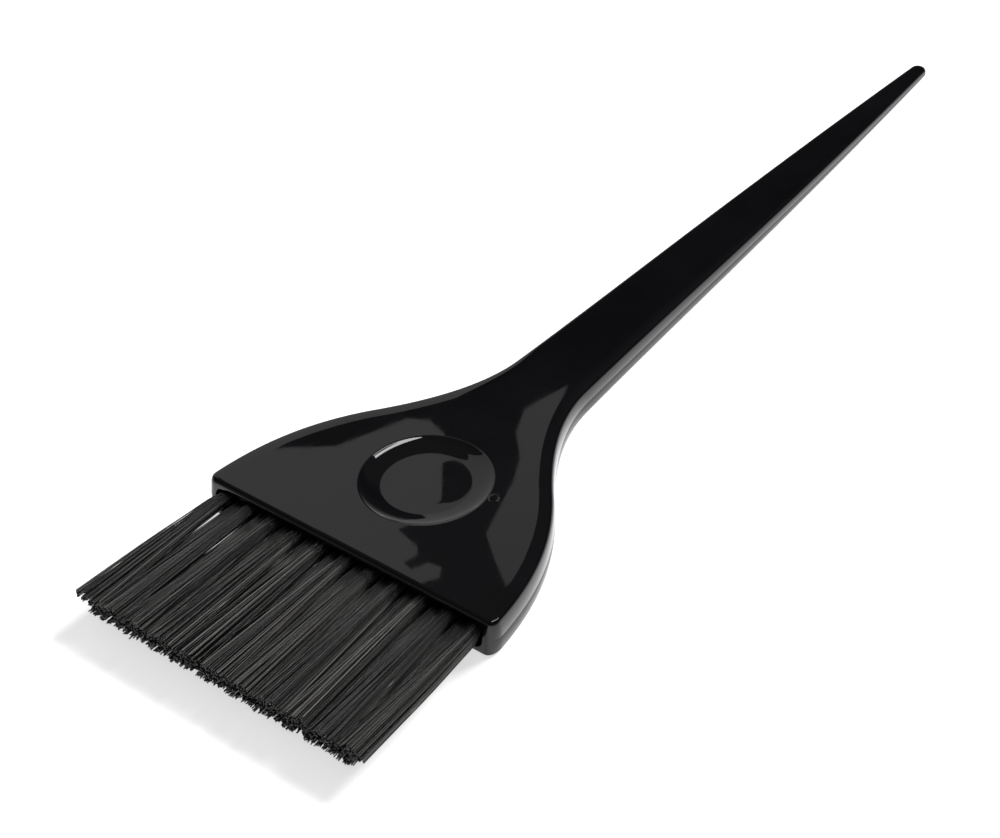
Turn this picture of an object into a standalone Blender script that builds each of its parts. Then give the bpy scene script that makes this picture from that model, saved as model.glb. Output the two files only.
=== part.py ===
"""Tint brush: a one-piece moulded paddle handle with a pointed tail, and two staggered rows of
nylon tufts, each folded round a wire anchor in its own hole.

Metres. +Z is up, +X runs from the bristle tips to the tail, and the origin is the middle of the
footprint, under the brush as it lies flat on its underside.
"""

import math

import bmesh
import bpy
from mathutils import Matrix, Vector

MM = 0.001

# ---- driving dimensions, in millimetres ----------------------------------------------------
OVERALL = 229.0                # bristle tips to tail end
BRISTLE_OUT = 33.0             # bristle length in front of the head
FRONT = BRISTLE_OUT - OVERALL / 2      # X of the head's front face
LENGTH = OVERALL - BRISTLE_OUT         # head and tail

# Half-width of the handle at its parting line: distance behind the front, half-width, slope.
FLANK = (
    (0.0, 33.2, -0.07),        # corner of the head
    (32.6, 20.9, -0.81),       # middle of the shoulder
    (59.2, 8.5, -0.055),       # neck
    (121.0, 5.85, -0.044),     # middle of the tail
    (194.2, 1.8, -0.069),      # where the tail's round end starts
)
TAIL_ROUND = 1.8               # radius of the tail end, seen from above
CORNER_ROUND = 2.0             # radius of the head's two upright corners
THICK_FRONT = 7.2              # thickness at the front face
THICK_TAIL = 2.0               # thickness at the tail end
EDGE_ROUND = 0.7               # rounding between the faces and the side wall
NOSE_BACK, NOSE_DOWN = 1.1, 1.6        # the same between the top and the front face, as an oval
DRAFT = math.radians(6.0)      # lean of the side wall away from the parting line
JAW_OUT = 1.0                  # how far the front face slopes forward from its top to its bottom

# Thumb rest: a shallow bowl, steepest at its crisp rim, round a flat disc.
REST_AT = 22.2                 # centre, behind the front face
REST_PROFILE = (               # radius and depth below the top face
    (12.2, 0.0), (11.75, 0.22), (11.3, 0.41), (10.7, 0.62), (9.95, 0.79), (9.2, 0.92), (8.3, 1.03),
)

# Recess in the front face, which the tufts stand in.
RECESS_WIDE, RECESS_HIGH, RECESS_DEEP, RECESS_ROUND = 60.8, 4.3, 2.4, 1.5

# Tufts: half-sizes across and upright, by distance in front of the front face.
TUFTS_UPPER, TUFTS_LOWER = 11, 10
PITCH = 5.78
ROW_UP = 0.7                   # height of a row above or below the middle of the head
ROW_UP_TIP = 1.25              # the same at the tips, where the rows spread
SPLAY = 1.056                  # how much wider the rows are at the tips than at the head
HOLE_RADIUS, HOLE_DEEP = 1.4, 9.5
TUFT_STATIONS = (
    (-9.1, 0.55, 0.55), (-8.75, 0.98, 0.98), (-8.1, 1.15, 1.15), (-2.6, 1.15, 1.15),
    (0.3, 1.25, 1.15), (3.0, 1.8, 1.15), (12.0, 1.95, 1.16), (BRISTLE_OUT, 2.6, 1.2),
)

# Anchor: a short flat wire across the hole. Each tuft is folded round its inner edge.
ANCHOR_AT, ANCHOR_WIDE, ANCHOR_LONG, ANCHOR_THICK = 6.8, 1.6, 3.5, 0.35
CLEAR = 0.3                    # gap left round an anchor

FLANK_STEPS, HOLE_SIDES, TUFT_SIDES, REST_SIDES = 12, 12, 12, 56


def clear_scene():
    for obj in list(bpy.data.objects):
        bpy.data.objects.remove(obj)


def material(name, color, roughness, metallic=0.0, coat=0.0):
    made = bpy.data.materials.new(name)
    made.use_nodes = True
    shader = made.node_tree.nodes["Principled BSDF"]
    shader.inputs["Base Color"].default_value = (*color, 1.0)
    shader.inputs["Roughness"].default_value = roughness
    shader.inputs["Metallic"].default_value = metallic
    shader.inputs["Coat Weight"].default_value = coat
    made.diffuse_color = (*color, 1.0)
    return made


def add_object(name, bm, mat=None):
    """An object from a bmesh in millimetres. Without a material it is a cutter."""
    bmesh.ops.recalc_face_normals(bm, faces=bm.faces)
    bmesh.ops.scale(bm, vec=(MM, MM, MM), verts=bm.verts)
    mesh = bpy.data.meshes.new(name)
    bm.to_mesh(mesh)
    bm.free()
    obj = bpy.data.objects.new(name, mesh)
    bpy.context.scene.collection.objects.link(obj)
    if mat:
        mesh.materials.append(mat)
    else:
        obj.hide_render = True
        obj.display_type = "WIRE"
    return obj


def loft(bm, rings):
    """Closed skin through rings of equal length, with a flat cap at each end."""
    loops = [[bm.verts.new(point) for point in ring] for ring in rings]
    for a, b in zip(loops, loops[1:]):
        for i in range(len(a)):
            j = (i + 1) % len(a)
            bm.faces.new((a[i], a[j], b[j], b[i]))
    bm.faces.new(loops[0])
    bm.faces.new(loops[-1])


def cut(obj, cutter):
    modifier = obj.modifiers.new("cut " + cutter.name, "BOOLEAN")
    modifier.operation = "DIFFERENCE"
    modifier.solver = "EXACT"
    modifier.object = cutter


# ---- handle --------------------------------------------------------------------------------

def half_width(back):
    """Half-width of the handle and its slope, by distance behind the front face."""
    for (x0, y0, m0), (x1, y1, m1) in zip(FLANK, FLANK[1:]):
        if back <= x1:
            break
    h = x1 - x0
    t = (back - x0) / h
    y = ((2 * t**3 - 3 * t**2 + 1) * y0 + (t**3 - 2 * t**2 + t) * h * m0
         + (3 * t**2 - 2 * t**3) * y1 + (t**3 - t**2) * h * m1)
    slope = ((6 * t**2 - 6 * t) * (y0 - y1) / h + (3 * t**2 - 4 * t + 1) * m0
             + (3 * t**2 - 2 * t) * m1)
    return y, slope


def thickness(back):
    return THICK_FRONT + (THICK_TAIL - THICK_FRONT) * back / LENGTH


def outline():
    """Points and outward normals round the handle at the parting line, seen from above."""
    side = []
    for step in range(5):              # upright corner of the head
        a = math.radians(180 - 22 * step)
        centre = Vector((CORNER_ROUND, half_width(CORNER_ROUND)[0] - CORNER_ROUND))
        normal = Vector((math.cos(a), math.sin(a)))
        side.append((centre + CORNER_ROUND * normal, normal))
    for (x0, _, _), (x1, _, _) in zip(FLANK, FLANK[1:]):
        for step in range(1, FLANK_STEPS + 1):
            back = x0 + (x1 - x0) * step / FLANK_STEPS
            y, slope = half_width(back)
            side.append((Vector((back, y)), Vector((-slope, 1.0)).normalized()))
    for a in (68, 46, 23):             # round end of the tail
        normal = Vector((math.cos(math.radians(a)), math.sin(math.radians(a))))
        side.append((Vector((LENGTH - TAIL_ROUND, 0)) + TAIL_ROUND * normal, normal))
    flip = Vector((1, -1))
    return (side + [(Vector((LENGTH, 0)), Vector((1, 0)))]
            + [(p * flip, n * flip) for p, n in reversed(side)])


def handle_rings():
    """Rings from the underside to the top face. The wall is widest at the parting line."""
    corner = [math.radians(a) for a in (0, 22.5, 45, 67.5, 90)]
    under = [(EDGE_ROUND * (1 - math.sin(a)), EDGE_ROUND * (1 - math.cos(a))) for a in corner]
    levels = [(inset, 0, rise) for inset, rise in under]
    levels.append((0, 0.5, 0))
    levels += [(inset, 1, -rise) for inset, rise in reversed(under)]
    rings = []
    for inset, share, rise in levels:
        ring = []
        for point, normal in outline():
            thick = thickness(point.x)
            lean = abs(share * thick + rise - thick / 2) * math.tan(DRAFT)
            facing = max(0.0, -normal.x)
            nose_in = 1 + facing * share * (NOSE_BACK / EDGE_ROUND - 1)
            nose_down = 1 + facing * share * (NOSE_DOWN / EDGE_ROUND - 1)
            at = point - normal * (inset * nose_in + lean * (1 - facing))
            at.x -= JAW_OUT * facing * (1 - share)
            z = share * thickness(at.x) + rise * nose_down
            ring.append((FRONT + at.x, at.y, z))
        rings.append(ring)
    return rings


def rest_cutter():
    """What the thumb rest takes out of the top face, square to that sloping face."""
    bm = bmesh.new()
    slope = math.atan((THICK_TAIL - THICK_FRONT) / LENGTH)
    place = (Matrix.Translation((FRONT + REST_AT, 0, thickness(REST_AT)))
             @ Matrix.Rotation(-slope, 4, "Y"))
    rings = []
    for radius, depth in ((REST_PROFILE[0][0], -1.0),) + REST_PROFILE:
        ring = []
        for i in range(REST_SIDES):
            a = 2 * math.pi * i / REST_SIDES
            ring.append(place @ Vector((radius * math.cos(a), radius * math.sin(a), -depth)))
        rings.append(ring)
    loft(bm, rings)
    return add_object("rest_cutter", bm)


def recess_cutter():
    bm = bmesh.new()
    ring = []
    for quarter, (sy, sz) in enumerate(((1, 1), (-1, 1), (-1, -1), (1, -1))):
        for step in range(4):
            a = math.radians(90 * quarter + 30 * step)
            ring.append((sy * (RECESS_WIDE / 2 - RECESS_ROUND) + RECESS_ROUND * math.cos(a),
                         sz * (RECESS_HIGH / 2 - RECESS_ROUND) + RECESS_ROUND * math.sin(a)))
    middle = THICK_FRONT / 2
    loft(bm, [[(x, y, middle + z) for y, z in ring] for x in (FRONT - 2, FRONT + RECESS_DEEP)])
    return add_object("recess_cutter", bm)


# ---- tufts and anchors ---------------------------------------------------------------------

def tuft_places():
    """Name, sideways place at the head and row (+1 upper, -1 lower) of each tuft."""
    for count, row, name in ((TUFTS_UPPER, 1, "upper"), (TUFTS_LOWER, -1, "lower")):
        for i in range(count):
            yield f"{name}_{i + 1:02d}", (i - (count - 1) / 2) * PITCH, row


def on_axis(side, row, ahead):
    """Centre of a tuft at a distance in front of the head: straight, fanned a little outwards."""
    share = ahead / BRISTLE_OUT
    spread = max(0.0, share) * (ROW_UP_TIP - ROW_UP)
    return Vector((FRONT - ahead, side * (1 + (SPLAY - 1) * share),
                   THICK_FRONT / 2 + row * (ROW_UP + spread)))


def oval(centre, across, upright, sides):
    ring = []
    for i in range(sides):
        a = 2 * math.pi * (i + 0.5) / sides
        ring.append(centre + Vector((0, across * math.cos(a), upright * math.sin(a))))
    return ring


def add_box(bm, centre, sizes, yaw):
    matrix = (Matrix.Translation(centre) @ Matrix.Rotation(yaw, 4, "Z")
              @ Matrix.Diagonal((*sizes, 1)))
    bmesh.ops.create_cube(bm, size=1, matrix=matrix)


def yaw_of(side):
    """How far a tuft's axis turns from straight ahead."""
    return -math.atan(side * (SPLAY - 1) / BRISTLE_OUT)


def main():
    clear_scene()
    gloss = material("gloss_black", (0.011, 0.011, 0.012), 0.12, coat=0.3)
    nylon = material("black_nylon", (0.022, 0.021, 0.020), 0.42)
    steel = material("anchor_steel", (0.62, 0.61, 0.58), 0.32, metallic=1.0)

    bm = bmesh.new()
    loft(bm, handle_rings())
    handle = add_object("handle", bm, gloss)
    cut(handle, rest_cutter())
    cut(handle, recess_cutter())

    holes, pockets = bmesh.new(), bmesh.new()
    pocket = (ANCHOR_WIDE + 2 * CLEAR, ANCHOR_THICK + 2 * CLEAR, ANCHOR_LONG + 2 * CLEAR)
    for name, side, row in tuft_places():
        deep, near = on_axis(side, row, -HOLE_DEEP), on_axis(side, row, -1.2)
        loft(holes, [oval(c, HOLE_RADIUS, HOLE_RADIUS, HOLE_SIDES) for c in (deep, near)])
        seat, yaw = on_axis(side, row, -ANCHOR_AT), yaw_of(side)
        add_box(pockets, seat, pocket, yaw)

        bm = bmesh.new()
        add_box(bm, seat, (ANCHOR_WIDE, ANCHOR_THICK, ANCHOR_LONG), yaw)
        add_object("anchor_" + name, bm, steel)

        bm = bmesh.new()
        loft(bm, [oval(on_axis(side, row, ahead), across, upright, TUFT_SIDES)
                  for ahead, across, upright in TUFT_STATIONS])
        tuft = add_object("tuft_" + name, bm, nylon)
        slot = bmesh.new()
        add_box(slot, seat, pocket, yaw)
        cut(tuft, add_object("slot_" + name, slot))
    cut(handle, add_object("hole_cutter", holes))
    cut(handle, add_object("pocket_cutter", pockets))


main()
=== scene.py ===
"""Tint brush, finished: the moulded gloss handle with its thumb rest and bristle recess, and the 21
tufts as folded nylon filaments, on a white floor under soft studio light.

The brush is worked out in millimetres, and turned into metres where a mesh is made. The studio is in
metres, apart from the two card outlines. The frame is the CAD part's own: +Z is up, +X runs from the
bristle tips to the tail, and the brush lies on z = 0.
"""

import math

import bmesh
import bpy
import numpy as np
from mathutils import Matrix, Vector


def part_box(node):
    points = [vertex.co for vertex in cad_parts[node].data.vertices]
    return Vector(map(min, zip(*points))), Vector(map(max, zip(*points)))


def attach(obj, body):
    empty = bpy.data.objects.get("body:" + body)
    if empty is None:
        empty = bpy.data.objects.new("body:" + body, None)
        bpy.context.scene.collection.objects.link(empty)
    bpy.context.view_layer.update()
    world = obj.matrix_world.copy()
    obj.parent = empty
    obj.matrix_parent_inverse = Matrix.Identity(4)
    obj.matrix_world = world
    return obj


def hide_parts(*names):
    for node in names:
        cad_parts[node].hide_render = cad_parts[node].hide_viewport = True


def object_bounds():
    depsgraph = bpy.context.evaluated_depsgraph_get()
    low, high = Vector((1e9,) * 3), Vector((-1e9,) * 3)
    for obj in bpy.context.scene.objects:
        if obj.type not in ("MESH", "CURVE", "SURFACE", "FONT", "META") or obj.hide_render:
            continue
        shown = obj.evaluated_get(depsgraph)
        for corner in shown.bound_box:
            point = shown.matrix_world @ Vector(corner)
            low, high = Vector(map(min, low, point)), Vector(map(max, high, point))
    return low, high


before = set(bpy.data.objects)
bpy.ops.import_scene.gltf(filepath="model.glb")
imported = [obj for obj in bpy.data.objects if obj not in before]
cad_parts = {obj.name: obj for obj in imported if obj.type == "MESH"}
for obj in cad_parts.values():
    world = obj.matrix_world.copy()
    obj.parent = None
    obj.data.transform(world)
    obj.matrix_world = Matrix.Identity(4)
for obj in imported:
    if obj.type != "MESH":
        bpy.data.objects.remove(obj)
CAD_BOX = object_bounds()

MM = 0.001
BODY = "root"
RNG = np.random.default_rng(7)

# ---- handle, as the CAD handle is dimensioned ----------------------------------------------
JAW_OUT = 1.0                          # slope of the front face: its bottom is this far forward
HANDLE_LOW, HANDLE_HIGH = (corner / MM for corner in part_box("handle"))
FRONT = HANDLE_LOW.x + JAW_OUT         # X of the head's front edge, at the top
LENGTH = HANDLE_HIGH.x - FRONT

# Half-width at the parting line: distance behind the front face, half-width, slope.
FLANK = (
    (0.0, 33.2, -0.07),        # corner of the head
    (32.6, 20.9, -0.81),       # middle of the shoulder
    (59.2, 8.5, -0.055),       # neck
    (121.0, 5.85, -0.044),     # middle of the tail
    (194.2, 1.8, -0.069),      # where the tail's round end starts
)
TAIL_ROUND, CORNER_ROUND = 1.8, 2.0    # radii seen from above: tail end, the head's corners
THICK_FRONT, THICK_TAIL = 7.2, 2.0
EDGE_ROUND = 0.7                       # rounding between the faces and the side wall
NOSE_BACK, NOSE_DOWN = 1.1, 1.6        # the same above the front face, as an oval
DRAFT = math.radians(6.0)              # lean of the side wall away from the parting line
GROOVE_HALF, GROOVE_DEEP = 0.14, 0.08  # witness line where the two halves of the mould met
CROWN_WIDE, CROWN_DROP = 1.9, 0.07     # the top face rolls off towards its side edges

# Thumb rest: a bowl whose slope grows from the flat disc to the rim. Radius, slope in degrees.
REST_AT = 22.2
REST_SLOPES = ((8.2, 0.0), (8.35, 6.0), (10.0, 11.0), (11.3, 20.0), (11.85, 26.0), (12.0, 26.0),
               (12.2, 0.0))
REST_GUARDS = (13.2, 12.7, 12.4)       # flat circles round the rim, which keep the face's shading flat
REST_FLOOR = (6.0, 4.0, 2.0)           # circles inside the flat disc
REST_FRAME = 14.0                      # half-size of the square of the face that holds the rest
REST_STEP = 0.12                       # radius between two circles of the bowl, about

# Gate mark beside the rest: radius and height of its turned profile.
GATE_AT = (25.2, -13.25)               # behind the front face, sideways
GATE_PROFILE = ((0.25, -0.02), (0.5, 0.0), (0.72, 0.035), (0.92, 0.06), (1.08, 0.05), (1.25, -0.01),
                (1.25, -0.08))
GATE_SIDES = 28

# Recess in the front face, with its rounded lip.
RECESS_WIDE, RECESS_HIGH, RECESS_DEEP, RECESS_ROUND = 60.8, 4.3, 2.4, 1.5
LIP_ROUND = 0.25

# The top face is a grid of columns: a block in the middle, which holds the rest, and two sides.
SIDE_COLUMNS, MIDDLE_COLUMNS = 26, 56
COLUMNS = 2 * SIDE_COLUMNS + MIDDLE_COLUMNS
MIDDLE_SHARE = 0.79                    # widest that the block may be, as a share of the half-width
CLOSING_UP = 1.5                       # power by which the side columns close up towards the edge

# ---- tufts ---------------------------------------------------------------------------------
HOLE_RADIUS, HOLE_DEEP, HOLE_SIDES = 1.4, 9.5, 24
SLIT_PLAY = Vector((0.4, 0.1, 0.4))    # the anchor's slit is larger than the anchor by this
FILAMENT = 0.24                        # diameter of one filament
FILAMENT_SIDES = 6
PACKING = 0.88                         # spacing of the strands in their hole, in diameters
BESIDE_ANCHOR = 0.3                    # from the hole's middle to the nearest filament's middle
CLOSED_UP = 1.28                       # stretch with which the two halves meet outside the hole
TIP_ACROSS = 3.4                       # half-width of a tuft at its tips, among its neighbours' tips
TIP_INSIDE = 1.2                       # from a tuft's top or underside to the middle of its tips
TIP_SPREAD = 1.1                       # how much wider the tips stand than the strands beneath
END_SPILL = 0.4                        # how far the end tufts spill out over the ends of the recess
CLUMPS, CLUMPING = 24, 0.48            # per arm, and how far they draw the tips together
LOOSE_SHARE, LOOSE_BY = 0.06, 0.28     # strands that stand out of their clump

# Distances ahead of the front face where a strand has a point, before its tip, and sizes by that
# distance: half-width of a tuft, then half-height for the upper and the lower row.
AHEADS = (-7, -4.5, -2.4, -1.2, -0.3, 0.6, 1.6, 2.8, 4.5, 7, 10, 14, 18.5, 23.5, 28.5)
ACROSS_AT, ACROSS = (-3, -0.3, 1.5, 3, 8, 16), (1.4, 1.4, 1.65, 1.85, 2.15, 2.65, TIP_ACROSS)
UPRIGHT_AT = (-3, -0.3, 3, 12)
UPRIGHT_UPPER, UPRIGHT_LOWER = (1.4, 1.42, 1.68, 1.6, 1.35), (1.4, 1.3, 1.15, 1.2, 1.3)

TUFTS = [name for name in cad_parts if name.startswith("tuft_")]
ROW_HALF = max(corner.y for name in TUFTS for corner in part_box(name)) / MM - 0.4
# A few filaments out of line, and cut at full length: how far sideways of the tuft their tips are.
STRAYS = {"upper_01": (0.6,), "upper_06": (0.5,), "upper_11": (-0.95, -0.7)}


# ---- mesh and object helpers -----------------------------------------------------------------

def add_piece(name, points, faces, material, sharp_from=35):
    """An object of the brush from points in millimetres. It rides on the brush's one body."""
    mesh = bpy.data.meshes.new(name)
    mesh.from_pydata([tuple(p) for p in np.asarray(points, float) * MM], [], faces)
    mesh.materials.append(material)
    mesh.shade_smooth()
    mesh.set_sharp_from_angle(angle=math.radians(sharp_from))
    obj = bpy.data.objects.new(name, mesh)
    bpy.context.scene.collection.objects.link(obj)
    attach(obj, BODY)
    return obj


def loft(bm, rings):
    """Closed skin through rings of equal length, with a flat cap at each end."""
    loops = [[bm.verts.new(point) for point in ring] for ring in rings]
    for a, b in zip(loops, loops[1:]):
        for i in range(len(a)):
            j = (i + 1) % len(a)
            bm.faces.new((a[i], a[j], b[j], b[i]))
    bm.faces.new(loops[0])
    bm.faces.new(loops[-1])


def cutter(name, bm):
    """An object to cut with, from a bmesh in millimetres."""
    bmesh.ops.recalc_face_normals(bm, faces=bm.faces)
    bmesh.ops.scale(bm, vec=(MM, MM, MM), verts=bm.verts)
    mesh = bpy.data.meshes.new(name)
    bm.to_mesh(mesh)
    bm.free()
    obj = bpy.data.objects.new(name, mesh)
    bpy.context.scene.collection.objects.link(obj)
    return obj


def cut_away(obj, cutters):
    """Cuts each cutter out of the object's mesh for good, and removes the cutters."""
    for tool in cutters:
        modifier = obj.modifiers.new(tool.name, "BOOLEAN")
        modifier.operation = "DIFFERENCE"
        modifier.solver = "EXACT"
        modifier.object = tool
    graph = bpy.context.evaluated_depsgraph_get()
    done = bpy.data.meshes.new_from_object(obj.evaluated_get(graph), depsgraph=graph)
    obj.modifiers.clear()
    obj.data = done
    for tool in cutters:
        bpy.data.objects.remove(tool)


# ---- materials -------------------------------------------------------------------------------

class Nodes:
    """A new material's node tree, with short calls to add and join nodes."""

    def __init__(self, name):
        self.material = bpy.data.materials.new(name)
        self.material.use_nodes = True
        self.tree = self.material.node_tree
        self.shader = self.tree.nodes["Principled BSDF"]

    def add(self, kind, **settings):
        node = self.tree.nodes.new(kind)
        for key, value in settings.items():
            setattr(node, key, value)
        return node

    def join(self, output, node, socket):
        self.tree.links.new(output, node.inputs[socket])

    def noise(self, scale, detail=2.0, stretch=(1, 1, 1), rough=0.5):
        """Noise in object space. scale is waves per metre, and stretch multiplies it along an axis."""
        place = self.add("ShaderNodeTexCoord")
        squeeze = self.add("ShaderNodeMapping")
        squeeze.inputs["Scale"].default_value = stretch
        self.join(place.outputs["Object"], squeeze, "Vector")
        node = self.add("ShaderNodeTexNoise")
        node.inputs["Scale"].default_value = scale
        node.inputs["Detail"].default_value = detail
        node.inputs["Roughness"].default_value = rough
        self.join(squeeze.outputs["Vector"], node, "Vector")
        return node.outputs["Fac"]

    def ranged(self, noise, low, high):
        """The noise's usual range, stretched to run from low to high."""
        node = self.add("ShaderNodeMapRange")
        for key, number in zip(("From Min", "From Max", "To Min", "To Max"), (0.3, 0.7, low, high)):
            node.inputs[key].default_value = number
        self.join(noise, node, "Value")
        return node.outputs["Result"]

    def ramp(self, value, *stops):
        """A colour by value, from stops of (value, colour)."""
        node = self.add("ShaderNodeValToRGB")
        while len(node.color_ramp.elements) < len(stops):
            node.color_ramp.elements.new(0.5)
        for element, (place, color) in zip(node.color_ramp.elements, stops):
            element.position = place
            element.color = (*color, 1.0)
        self.join(value, node, "Fac")
        return node.outputs["Color"]

    def bump(self, height, distance):
        node = self.add("ShaderNodeBump")
        node.inputs["Distance"].default_value = distance
        self.join(height, node, "Height")
        return node.outputs["Normal"]


def gloss_black():
    """Injection-moulded gloss plastic: a slow swell in the surface, fine rubs, an uneven black."""
    nodes = Nodes("gloss_black_plastic")
    shade = nodes.noise(90, detail=3)
    color = nodes.ramp(shade, (0.35, (0.0012, 0.0012, 0.0016)), (0.7, (0.0020, 0.0019, 0.0026)))
    nodes.join(color, nodes.shader, "Base Color")
    rub = nodes.noise(700, detail=4, stretch=(0.25, 1, 1), rough=0.65)
    nodes.join(nodes.ranged(rub, 0.01, 0.03), nodes.shader, "Roughness")
    swell = nodes.noise(45, detail=1)
    nodes.join(nodes.bump(swell, 0.00002), nodes.shader, "Normal")
    nodes.shader.inputs["IOR"].default_value = 1.5
    return nodes.material


def nylon():
    """Black nylon monofilament: each strand a little different, with a satin skin."""
    nodes = Nodes("black_nylon_filament")
    strand = nodes.add("ShaderNodeNewGeometry").outputs["Random Per Island"]
    color = nodes.ramp(strand, (0.0, (0.003, 0.003, 0.0029)), (0.5, (0.014, 0.0137, 0.0132)),
                       (0.9, (0.042, 0.041, 0.0385)), (1.0, (0.095, 0.093, 0.088)))
    nodes.join(color, nodes.shader, "Base Color")
    along = nodes.noise(900, detail=3, stretch=(0.15, 1, 1))
    nodes.join(nodes.ranged(along, 0.22, 0.4), nodes.shader, "Roughness")
    nodes.join(nodes.bump(along, 0.000005), nodes.shader, "Normal")
    nodes.shader.inputs["IOR"].default_value = 1.53
    return nodes.material


def steel():
    """Drawn and flattened wire: fine lines along its length, and a few duller patches."""
    nodes = Nodes("anchor_wire_steel")
    lines = nodes.noise(4000, detail=3, stretch=(1, 1, 0.06))
    color = nodes.ramp(nodes.noise(600, detail=2), (0.3, (0.42, 0.41, 0.39)), (0.7, (0.60, 0.59, 0.57)))
    nodes.join(color, nodes.shader, "Base Color")
    nodes.join(nodes.ranged(lines, 0.22, 0.42), nodes.shader, "Roughness")
    nodes.join(nodes.bump(lines, 0.000008), nodes.shader, "Normal")
    nodes.shader.inputs["Metallic"].default_value = 1.0
    return nodes.material


# ---- handle ----------------------------------------------------------------------------------

def half_width(back):
    """Half-width of the handle and its slope, by distance behind the front face."""
    for (x0, y0, m0), (x1, y1, m1) in zip(FLANK, FLANK[1:]):
        if back <= x1:
            break
    h = x1 - x0
    t = (back - x0) / h
    y = ((2 * t**3 - 3 * t**2 + 1) * y0 + (t**3 - 2 * t**2 + t) * h * m0
         + (3 * t**2 - 2 * t**3) * y1 + (t**3 - t**2) * h * m1)
    slope = ((6 * t**2 - 6 * t) * (y0 - y1) / h + (3 * t**2 - 4 * t + 1) * m0
             + (3 * t**2 - 2 * t) * m1)
    return y, slope


def thickness(back):
    return THICK_FRONT + (THICK_TAIL - THICK_FRONT) * back / LENGTH


def flank_stations():
    """Distances behind the front where the side is sampled: close at the head, wider on the tail."""
    close, wider, neck, widening = 0.5, 1.5, 60, 20
    stations = [CORNER_ROUND + 0.3]
    while stations[-1] < FLANK[-1][0] - 1.0:
        back = stations[-1]
        stations.append(back + close + wider * min(1.0, max(0.0, (back - neck) / widening)))
    stations[-1] = FLANK[-1][0]
    return stations


def side_outline():
    """Points and outward normals along the +Y side at the parting line, from front to tail end."""
    side, steps = [], 11
    centre = Vector((CORNER_ROUND, half_width(CORNER_ROUND)[0] - CORNER_ROUND))
    for step in range(steps + 1):
        a = math.radians(180 - 86 * step / steps)
        normal = Vector((math.cos(a), math.sin(a)))
        side.append((centre + CORNER_ROUND * normal, normal))
    for back in flank_stations():
        y, slope = half_width(back)
        side.append((Vector((back, y)), Vector((-slope, 1.0)).normalized()))
    for step in range(1, steps + 1):
        a = math.radians(90 - 7.5 * step)
        normal = Vector((math.cos(a), math.sin(a)))
        side.append((Vector((LENGTH - TAIL_ROUND, 0)) + TAIL_ROUND * normal, normal))
    return side


def wall_levels():
    """Inset, share of the thickness and rise above it, for each ring up the side wall."""
    arc = [math.radians(a) for a in (0, 15, 30, 45, 60, 75, 86)]
    round_off = [(EDGE_ROUND * (1 - math.sin(a)), EDGE_ROUND * (1 - math.cos(a))) for a in arc]
    groove = [(0, 0.5, -GROOVE_HALF), (GROOVE_DEEP, 0.5, 0), (0, 0.5, GROOVE_HALF)]
    return ([(inset, 0, rise) for inset, rise in round_off] + groove
            + [(inset, 1, -rise) for inset, rise in reversed(round_off)])


def inset_point(point, normal, inset, share, rise):
    """Where an outline point lies on a ring of the wall, seen from above."""
    thick = thickness(point.x)
    lean = abs(share * thick + rise - thick / 2) * math.tan(DRAFT)
    facing = max(0.0, -normal.x)
    if share == 0.5:
        inset *= 1 - facing            # the witness line fades out on the front face
    if share == 1:
        inset *= 1 + facing * (NOSE_BACK / EDGE_ROUND - 1)
    at = point - normal * (inset + lean * (1 - facing))
    at.x -= JAW_OUT * facing * (1 - share)
    return at


def crown(back, y, edge):
    """How far the top face has rolled off at a point, given the half-width of the flat face there."""
    wide = min(CROWN_WIDE, 0.45 * edge)
    if wide <= 0:
        return 0.0
    slope = half_width(min(back, FLANK[-1][0]))[1]
    inside = (edge - abs(y)) / math.hypot(1, slope)
    return CROWN_DROP * (wide / CROWN_WIDE) * max(0.0, 1 - inside / wide) ** 2


def rest_profile():
    """Radii from the rim of the thumb rest inwards, with the depth below the top face at each."""
    radii, slopes = zip(*REST_SLOPES)
    out, depth = [(radius, 0.0) for radius in (*REST_GUARDS, radii[-1])], 0.0
    for r0, r1 in reversed(list(zip(radii, radii[1:]))):
        pieces = max(2, round((r1 - r0) / REST_STEP))
        for step in range(1, pieces + 1):
            radius = r1 - (r1 - r0) * step / pieces
            middle = radius + (r1 - r0) / pieces / 2
            depth += (r1 - r0) / pieces * math.tan(math.radians(np.interp(middle, radii, slopes)))
            out.append((radius, depth))
    return out + [(radius, depth) for radius in REST_FLOOR]


def cross_columns(edge):
    """Y of each column of a row across the top face: a middle block, and sides that close up."""
    middle = min(REST_FRAME, MIDDLE_SHARE * edge)
    out = [edge - (edge - middle) * (s / SIDE_COLUMNS) ** CLOSING_UP for s in range(SIDE_COLUMNS)]
    block = [middle - 2 * middle * k / MIDDLE_COLUMNS for k in range(MIDDLE_COLUMNS + 1)]
    return out + block + [-y for y in reversed(out)]


class Skin:
    """Points and faces of the handle's skin, added by distance behind the front face."""

    def __init__(self):
        self.points, self.faces = [], []

    def add(self, back, y, z):
        self.points.append((FRONT + back, y, z))
        return len(self.points) - 1

    def strip(self, a, b):
        """Faces between two closed rings of equal length."""
        for i in range(len(a)):
            j = (i + 1) % len(a)
            self.faces.append((a[i], a[j], b[j], b[i]))


def wall_ring(side, level):
    """One ring: down the +Y side, round the tail, back up the -Y side, and across the front."""
    outline = [inset_point(point, normal, *level) for point, normal in side]
    tip = inset_point(Vector((LENGTH, 0)), Vector((1, 0)), *level)
    mirrored = [Vector((p.x, -p.y)) for p in reversed(outline)]
    front = [Vector((outline[0].x, y)) for y in reversed(cross_columns(outline[0].y)[1:-1])]
    return outline + [tip] + mirrored + front


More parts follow.
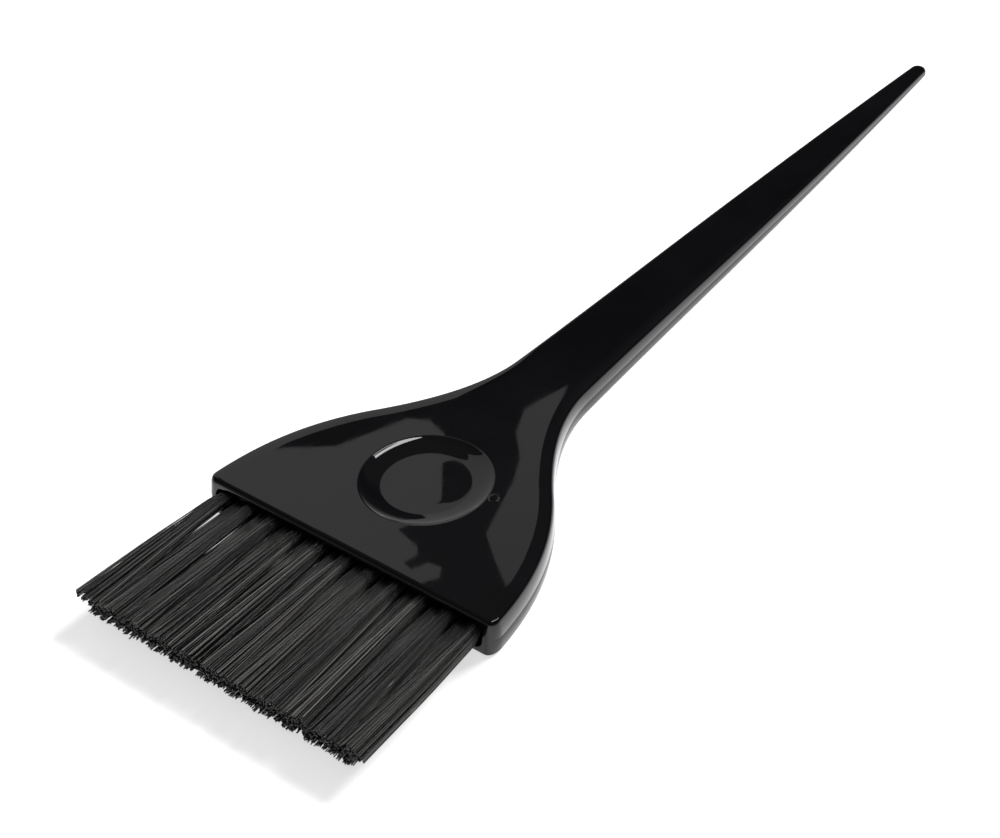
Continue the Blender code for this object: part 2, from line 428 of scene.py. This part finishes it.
def add_wall(skin, side, top):
    """The underside and the rings up the side wall. Returns the last ring, round the top face."""
    drops = [crown(x, edge, edge) for x, edge, _ in top]
    x, edge, ys = top[0]
    drops = drops + [0.0] + drops[::-1] + [crown(x, y, edge) for y in reversed(ys[1:-1])]
    facings = [max(0.0, -normal.x) for _, normal in side]
    facings = facings + [0.0] + facings[::-1] + [1.0] * (COLUMNS - 1)
    rings = []
    for inset, share, rise in wall_levels():
        ring = []
        for p, drop, facing in zip(wall_ring(side, (inset, share, rise)), drops, facings):
            nose = 1 + facing * (NOSE_DOWN / EDGE_ROUND - 1) if share == 1 else 1.0
            ring.append(skin.add(p.x, p.y, share * (thickness(p.x) - drop) + rise * nose))
        rings.append(ring)
    for a, b in zip(rings, rings[1:]):
        skin.strip(a, b)
    skin.faces.append(tuple(reversed(rings[0])))
    return rings[-1]


def add_top(skin, top, last):
    """The top face inside the wall's last ring, with a row across for each outline point. Returns
    the points round the square that it leaves open for the thumb rest."""
    n, size = len(top), len(last)
    rows = [[last[0]] + [last[size - 1 - k] for k in range(COLUMNS - 1)] + [last[2 * n]]]
    framed = [i for i, (x, _, _) in enumerate(top) if REST_AT - REST_FRAME <= x <= REST_AT + REST_FRAME]
    first, final = framed[0], framed[-1]
    low, high = SIDE_COLUMNS, SIDE_COLUMNS + MIDDLE_COLUMNS
    for i in range(1, n):
        x, edge, ys = top[i]
        row = [last[i]]
        for k in range(1, COLUMNS):
            inside = first < i < final and low < k < high
            row.append(None if inside else skin.add(x, ys[k], thickness(x) - crown(x, ys[k], edge)))
        rows.append(row + [last[2 * n - i]])
    for i in range(n - 1):
        for k in range(COLUMNS):
            if not (first <= i < final and low <= k < high):
                skin.faces.append((rows[i][k], rows[i + 1][k], rows[i + 1][k + 1], rows[i][k + 1]))
    for k in range(COLUMNS):
        skin.faces.append((rows[-1][k], last[n], rows[-1][k + 1]))
    return ([rows[first][k] for k in range(low, high)] + [rows[i][high] for i in range(first, final)]
            + [rows[final][k] for k in range(high, low, -1)]
            + [rows[i][low] for i in range(final, first, -1)])


def add_rest(skin, square):
    """The thumb rest: the square closes in to circles, which carry the turned profile."""
    around = [(skin.points[v][0] - FRONT - REST_AT, skin.points[v][1]) for v in square]
    angles = [math.atan2(y, x) for x, y in around]
    before = square
    for radius, depth in rest_profile():
        ring = []
        for a in angles:
            x, y = REST_AT + radius * math.cos(a), radius * math.sin(a)
            ring.append(skin.add(x, y, thickness(x) - depth))
        skin.strip(before, ring)
        before = ring
    skin.faces.append(tuple(before))


def handle_skin():
    """The handle's closed skin, before the recess and the holes are cut."""
    side = side_outline()
    top = []
    for point, normal in side:
        at = inset_point(point, normal, *wall_levels()[-1])
        top.append((at.x, at.y, cross_columns(at.y)))
    skin = Skin()
    last = add_wall(skin, side, top)
    square = add_top(skin, top, last)
    add_rest(skin, square)
    return skin


def rounded_slot(wide, high, corner, steps=8):
    """Points round a slot with rounded ends, about its middle."""
    ring = []
    for quarter, (sy, sz) in enumerate(((1, 1), (-1, 1), (-1, -1), (1, -1))):
        for step in range(steps):
            a = math.radians(90 * quarter + 90 * step / (steps - 1))
            ring.append((sy * (wide / 2 - corner) + corner * math.cos(a),
                         sz * (high / 2 - corner) + corner * math.sin(a)))
    return ring


def recess_cutter():
    """The recess, widening through a small radius to the lip at the front face."""
    bm = bmesh.new()
    stations = [(FRONT + RECESS_DEEP, 0.0), (FRONT + LIP_ROUND, 0.0)]
    for a in (20, 40, 60, 75, 90):
        a = math.radians(a)
        stations.append((FRONT + LIP_ROUND * (1 - math.sin(a)), LIP_ROUND * (1 - math.cos(a))))
    stations.append((FRONT - 1.0, LIP_ROUND + 0.001))
    rings = []
    for x, wider in stations:
        ring = rounded_slot(RECESS_WIDE + 2 * wider, RECESS_HIGH + 2 * wider, RECESS_ROUND + wider)
        rings.append([(x, y, THICK_FRONT / 2 + z) for y, z in ring])
    loft(bm, rings)
    return cutter("recess_cutter", bm)


def tuft_names():
    return sorted(name[len("tuft_"):] for name in TUFTS)


def hole_cutters():
    """The holes that hold the tufts, and the slits that the anchors were driven into."""
    holes, slits = bmesh.new(), bmesh.new()
    for name in tuft_names():
        low, high = (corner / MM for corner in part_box("anchor_" + name))
        seat = (low + high) / 2
        rings = []
        for back in (HOLE_DEEP, RECESS_DEEP / 2):
            rings.append([(FRONT + back, seat.y + HOLE_RADIUS * math.cos(a),
                           seat.z + HOLE_RADIUS * math.sin(a))
                          for a in (2 * math.pi * i / HOLE_SIDES for i in range(HOLE_SIDES))])
        loft(holes, rings)
        sizes = (high - low) + SLIT_PLAY
        bmesh.ops.create_cube(slits, size=1, matrix=Matrix.Translation(seat)
                              @ Matrix.Diagonal((*sizes, 1)))
    return [cutter("hole_cutter", holes), cutter("slit_cutter", slits)]


def make_handle(material):
    skin = handle_skin()
    handle = add_piece("handle_moulding", skin.points, skin.faces, material)
    cut_away(handle, [recess_cutter()] + hole_cutters())
    handle.data.shade_smooth()
    handle.data.set_sharp_from_angle(angle=math.radians(32))
    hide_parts("handle")


# ---- tufts -----------------------------------------------------------------------------------

def packed_half(reach, spacing):
    """Places of the strands in one half of a hole, beside the anchor, hexagonally packed."""
    places = []
    rows = int(reach / (spacing * 0.866)) + 1
    for row in range(-rows, rows + 1):
        h = row * spacing * 0.866
        d = BESIDE_ANCHOR + (0.5 * spacing if row % 2 else 0.0)
        while d * d + h * h <= reach * reach:
            places.append((d, h))
            d += spacing
    return np.array(places)


class Tuft:
    """Where a tuft stands, from its CAD pieces, and its middle and half-sizes along its length."""

    def __init__(self, name):
        anchor_low, anchor_high = (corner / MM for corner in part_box("anchor_" + name))
        tuft_low, tuft_high = (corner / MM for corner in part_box("tuft_" + name))
        self.name = name
        self.upper = name.startswith("upper")
        self.seat = (anchor_low + anchor_high) / 2
        self.fold_at = anchor_high.x
        self.out = FRONT - tuft_low.x
        self.tip_y = (tuft_low.y + tuft_high.y) / 2
        self.tip_z = tuft_high.z - TIP_INSIDE if self.upper else tuft_low.z + TIP_INSIDE
        at_end = abs(self.tip_y) + TIP_ACROSS > ROW_HALF
        self.spill = math.copysign(END_SPILL, self.seat.y) if at_end else 0.0

    def middle(self, ahead, t):
        """Y and Z. The upper row sags a little out of its holes, and the end tufts lean outwards."""
        spill = self.spill * np.interp(ahead, (-0.3, 2, 16, self.out), (0, 1, 1, 0))
        sag = np.interp(ahead, (-2.4, 0.5, 8, self.out), (0, -0.4, -0.3, 0)) if self.upper else 0.0
        return (self.seat.y + (self.tip_y - self.seat.y) * t + spill,
                self.seat.z + (self.tip_z - self.seat.z) * t + sag)

    def half_sizes(self, ahead):
        upright = UPRIGHT_UPPER if self.upper else UPRIGHT_LOWER
        return (np.interp(ahead, (*ACROSS_AT, self.out), ACROSS),
                np.interp(ahead, (*UPRIGHT_AT, self.out), upright))


def tip_places(tuft, sign, closed, v):
    """Where one arm's strands end, in half-sizes of the tuft: in clumps, with a few loose ones."""
    tips = np.stack([closed, v], 1) * TIP_SPREAD + RNG.normal(0, 0.05, (len(v), 2))
    clumps = np.stack([sign * RNG.uniform(-0.1, 1.15, CLUMPS), RNG.uniform(-1, 1, CLUMPS)], 1)
    near = np.argmin(((tips[:, None] - clumps[None]) ** 2).sum(2), 1)
    tips += CLUMPING * (clumps[near] - tips)
    loose = RNG.random(len(v)) < LOOSE_SHARE
    tips[loose] += RNG.normal(0, LOOSE_BY, (int(loose.sum()), 2))
    low, high = (-ROW_HALF - tuft.tip_y) / TIP_ACROSS, (ROW_HALF - tuft.tip_y) / TIP_ACROSS
    tips[:, 0] = np.clip(tips[:, 0], low, high)
    return tips


def arm(tuft, half, sign):
    """One side of every strand, from the hole's depth out to the tip."""
    n = len(half)
    u, v = sign * half[:, 0] / HOLE_RADIUS, half[:, 1] / HOLE_RADIUS
    closed = sign * (half[:, 0] - BESIDE_ANCHOR) * CLOSED_UP / HOLE_RADIUS
    tips = tip_places(tuft, sign, closed, v)
    bow = RNG.normal(0, 0.045, (n, 2))
    length = tuft.out - np.abs(RNG.normal(0, 0.22, n)) - 0.45 * RNG.random(n) ** 3
    outermost = np.argsort(-sign * u)
    for strand, sideways in zip(outermost, STRAYS.get(tuft.name, ())):
        if sideways * sign > 0:
            tips[strand] = (sign + sideways / TIP_ACROSS, 0.4)
            length[strand] = tuft.out
    lines = []
    for ahead in (*AHEADS, tuft.out):
        a = np.minimum(ahead, length)
        t = np.clip(a / tuft.out, 0, 1)
        ease = 0.5 * t * t * (3 - 2 * t) + 0.5 * t
        beside = u + (closed - u) * np.clip((a + 2) / 5, 0, 1)
        bend = np.sin(np.pi * t)
        middle_y, middle_z = tuft.middle(a, t)
        across, upright = tuft.half_sizes(a)
        y = middle_y + across * (beside + (tips[:, 0] - beside) * ease) + bend * bow[:, 0]
        z = middle_z + upright * (v + (tips[:, 1] - v) * ease) + bend * bow[:, 1]
        lines.append(np.stack([FRONT - a, y, z], 1))
    return np.stack(lines, 1)


def strand_paths(name):
    """Centre lines of a tuft's strands, from tip to tip round the anchor: (strands, points, 3)."""
    tuft = Tuft(name)
    half = packed_half(HOLE_RADIUS - 0.6 * FILAMENT, PACKING * FILAMENT)
    half = RNG.permutation(half) + RNG.normal(0, 0.012, half.shape)
    left, right = arm(tuft, half, 1), arm(tuft, half, -1)
    fold = []
    for a in (0, 45, 90, 135, 180):
        a = math.radians(a)
        d, h = half[:, 0], half[:, 1]
        fold.append(np.stack([tuft.fold_at + d * math.sin(a), tuft.seat.y + d * math.cos(a),
                              tuft.seat.z + h], 1))
    return np.concatenate([left[:, ::-1], np.stack(fold, 1), right], 1)


def tubes(paths, radius, sides):
    """Points and faces of a closed tube along each path."""
    strands, steps, _ = paths.shape
    along = np.gradient(paths, axis=1)
    along /= np.linalg.norm(along, axis=2, keepdims=True)
    across = np.cross(along, (0.0, 0.0, 1.0))
    across /= np.linalg.norm(across, axis=2, keepdims=True)
    upward = np.cross(across, along)
    turn = 2 * np.pi * np.arange(sides) / sides
    points = (paths[:, :, None] + radius * (np.cos(turn)[None, None, :, None] * across[:, :, None]
                                            + np.sin(turn)[None, None, :, None] * upward[:, :, None]))
    index = np.arange(strands * steps * sides).reshape(strands, steps, sides)
    a, b = index[:, :-1], index[:, 1:]
    walls = np.stack([a, np.roll(a, -1, 2), np.roll(b, -1, 2), b], 3).reshape(-1, 4)
    caps = np.concatenate([index[:, 0, ::-1], index[:, -1]], 0)
    return points.reshape(-1, 3), walls.tolist() + caps.tolist()


def make_tufts(material):
    for name in tuft_names():
        points, faces = tubes(strand_paths(name), FILAMENT / 2, FILAMENT_SIDES)
        tuft = add_piece("strands_" + name, points, faces, material, sharp_from=70)
        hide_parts("tuft_" + name)


def make_gate_mark(material):
    """The small ring that the moulding gate left beside the thumb rest, square to the sloping face."""
    back, sideways = GATE_AT
    sides = GATE_SIDES
    slope = (THICK_TAIL - THICK_FRONT) / LENGTH
    points, faces = [], []
    for radius, height in GATE_PROFILE:
        for i in range(sides):
            a = 2 * math.pi * i / sides
            x, y = radius * math.cos(a), radius * math.sin(a)
            points.append((FRONT + back + x, sideways + y, thickness(back) + slope * x + height))
    for ring in range(len(GATE_PROFILE) - 1):
        for i in range(sides):
            j = (i + 1) % sides
            a, b = ring * sides, (ring + 1) * sides
            faces.append((a + j, a + i, b + i, b + j))
    faces.append(tuple(range(sides)))
    faces.append(tuple(reversed(range(len(points) - sides, len(points)))))
    add_piece("gate_mark", points, faces, material)


def finish_anchors(material):
    """The anchors keep their CAD meshes, and take the wire's material."""
    for name in tuft_names():
        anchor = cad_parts["anchor_" + name]
        anchor.data.materials.clear()
        anchor.data.materials.append(material)


# ---- studio ----------------------------------------------------------------------------------

def make_floor():
    """A white floor a hair under the brush. Its own glow keeps the shadows on it pale."""
    reach, under = 12.0, 0.00002
    nodes = Nodes("floor_white")
    grain = nodes.noise(60, detail=2)
    nodes.join(nodes.ramp(grain, (0.3, (0.54, 0.54, 0.54)), (0.7, (0.56, 0.56, 0.56))),
               nodes.shader, "Base Color")
    nodes.shader.inputs["Emission Color"].default_value = (1, 1, 1, 1)
    nodes.shader.inputs["Emission Strength"].default_value = 0.65
    nodes.material.cycles.emission_sampling = "NONE"
    nodes.shader.inputs["Roughness"].default_value = 0.6
    nodes.shader.inputs["Specular IOR Level"].default_value = 0.2
    mesh = bpy.data.meshes.new("floor")
    mesh.from_pydata([(-reach, -reach, 0), (reach, -reach, 0), (reach, reach, 0), (-reach, reach, 0)],
                     [], [(0, 1, 2, 3)])
    mesh.materials.append(nodes.material)
    floor = bpy.data.objects.new("floor", mesh)
    floor.location.z = -under
    bpy.context.scene.collection.objects.link(floor)


# The reflector cards stand on the far side, square to this direction from the brush.
CARD_AZIMUTH, CARD_ELEVATION, CARD_FAR = math.radians(45), math.radians(41), 1.3

# Card outlines in millimetres on that plane: to the left, and up. Their edges are the edges of the
# pale reflections on the head. The left card is a large sheet with a long slot in its right side, and
# a ragged edge above the slot. The right card is a narrow leaf.
LEFT_CARD = ((45, -73), (0, -72), (-55, -88), (-72, -85), (-83, -73), (-75, -25), (-55, -9), (-40, -5),
             (-54, 10), (-54, 16), (-43, 21), (-48, 26), (-61, 22), (-70, 26), (-68, 34), (-54, 37),
             (-60, 140), (140, 150), (260, 300), (900, 300), (900, -1100), (-420, -1100), (-265, -960),
             (-150, -560), (-80, -450), (-95, -103), (-25, -97), (35, -84))
RIGHT_CARD = ((-180, -101), (-145, -85), (-137, -70), (-137, -50), (-130, -30), (-107, 5), (-118, 48),
              (-128, 48), (-153, 0), (-175, -90))


def emission(name, strength):
    nodes = Nodes(name)
    nodes.tree.nodes.remove(nodes.shader)
    light = nodes.add("ShaderNodeEmission")
    light.inputs["Strength"].default_value = strength
    nodes.join(light.outputs["Emission"], nodes.tree.nodes["Material Output"], "Surface")
    return nodes.material


def stage_card(name, corners, strength):
    """A flat pale card that shows only in the brush's surfaces."""
    mesh = bpy.data.meshes.new(name)
    mesh.from_pydata(corners, [], [tuple(range(len(corners)))])
    mesh.materials.append(emission(name + "_white", strength))
    card = bpy.data.objects.new(name, mesh)
    bpy.context.scene.collection.objects.link(card)
    card.visible_camera = False


def make_far_card(name, outline, strength):
    """A card on the far side, whose outline is given on the cards' plane."""
    flat = (math.cos(CARD_AZIMUTH), math.sin(CARD_AZIMUTH))
    out = Vector((math.cos(CARD_ELEVATION) * flat[0], math.cos(CARD_ELEVATION) * flat[1],
                  math.sin(CARD_ELEVATION)))
    left = Vector((-flat[1], flat[0], 0))
    up = out.cross(left)
    middle = Vector((FRONT * MM, 0, 0)) + out * CARD_FAR
    stage_card(name, [tuple(middle + left * u * MM + up * v * MM) for u, v in outline], strength)


def make_front_card():
    """A low pale card ahead of the bristles, which the front face and the end walls reflect."""
    away, left, right, low, high = 1.3, math.radians(118), math.radians(178), 0.01, 0.56
    corners = [(FRONT * MM + away * math.cos(a), away * math.sin(a), z)
               for a, z in ((left, low), (right, low), (right, high), (left, high))]
    stage_card("front_card", corners, 0.17)


def make_lights():
    """The key, a strip softbox over the near side, shows only in the gloss. The fills show in none."""
    for name, place, size, watts, glossy in (
            ("key_strip", (0.27, -0.11, 1.2), (1.1, 0.19), 7.5, True),
            ("fill_behind", (3.1, -0.45, 2.05), (2.2, 0.9), 350, False),
            ("fill_above", (0, 0, 3.2), (3.0, 3.0), 10, False)):
        data = bpy.data.lights.new(name, "AREA")
        data.shape = "RECTANGLE"
        data.size, data.size_y = size
        data.energy = watts
        light = bpy.data.objects.new(name, data)
        light.location = place
        if not glossy:
            light.rotation_euler = Vector(place).to_track_quat("Z", "Y").to_euler()
        light.visible_glossy = glossy
        light.visible_diffuse = not glossy
        bpy.context.scene.collection.objects.link(light)


def make_world():
    """A studio that is pale round the horizon and dim overhead, by the sine of the elevation."""
    world = bpy.data.worlds.new("studio")
    world.use_nodes = True
    tree = world.node_tree
    place = tree.nodes.new("ShaderNodeTexCoord")
    split = tree.nodes.new("ShaderNodeSeparateXYZ")
    ramp = tree.nodes.new("ShaderNodeValToRGB")
    tree.links.new(place.outputs["Generated"], split.inputs["Vector"])
    tree.links.new(split.outputs["Z"], ramp.inputs["Fac"])
    tree.links.new(ramp.outputs["Color"], tree.nodes["Background"].inputs["Color"])
    stops = ((0.0, 0.85), (0.1, 0.7), (0.22, 0.3), (0.34, 0.05), (0.58, 0.03), (0.66, 0.09), (1.0, 0.12))
    while len(ramp.color_ramp.elements) < len(stops):
        ramp.color_ramp.elements.new(0.5)
    for element, (height, value) in zip(ramp.color_ramp.elements, stops):
        element.position = height
        element.color = (value, value, value, 1.0)
    bpy.context.scene.world = world


def make_camera():
    """The photograph's view: from the front left, 40 degrees up, turned a little."""
    low, high = CAD_BOX
    along, sideways, far, lens = 0.3556, 0.0044, 0.41538, 79.9
    azimuth, elevation, roll = (math.radians(angle) for angle in (-48.798, 40.264, -4.629))
    aim = Vector((low.x + along * (high.x - low.x), sideways, 0))
    back = Vector((math.sin(azimuth) * math.cos(elevation), -math.cos(azimuth) * math.cos(elevation),
                   math.sin(elevation)))
    level = Vector((math.cos(azimuth), math.sin(azimuth), 0))
    upright = back.cross(level)
    right = math.cos(roll) * level + math.sin(roll) * upright
    up = -math.sin(roll) * level + math.cos(roll) * upright
    data = bpy.data.cameras.new("camera")
    data.sensor_width = 36
    data.lens = lens
    data.clip_start, data.clip_end = 0.02, 60
    turn = Matrix((right, up, back)).transposed().to_4x4()
    camera = bpy.data.objects.new("camera", data)
    camera.matrix_world = Matrix.Translation(aim + back * far) @ turn
    bpy.context.scene.collection.objects.link(camera)
    bpy.context.scene.camera = camera


plastic = gloss_black()
make_handle(plastic)
make_gate_mark(plastic)
make_tufts(nylon())
finish_anchors(steel())
make_floor()
make_far_card("left_card", LEFT_CARD, 0.62)
make_far_card("right_card", RIGHT_CARD, 0.55)
make_front_card()
make_lights()
make_world()
make_camera()
bpy.context.scene.view_settings.view_transform = "Standard"
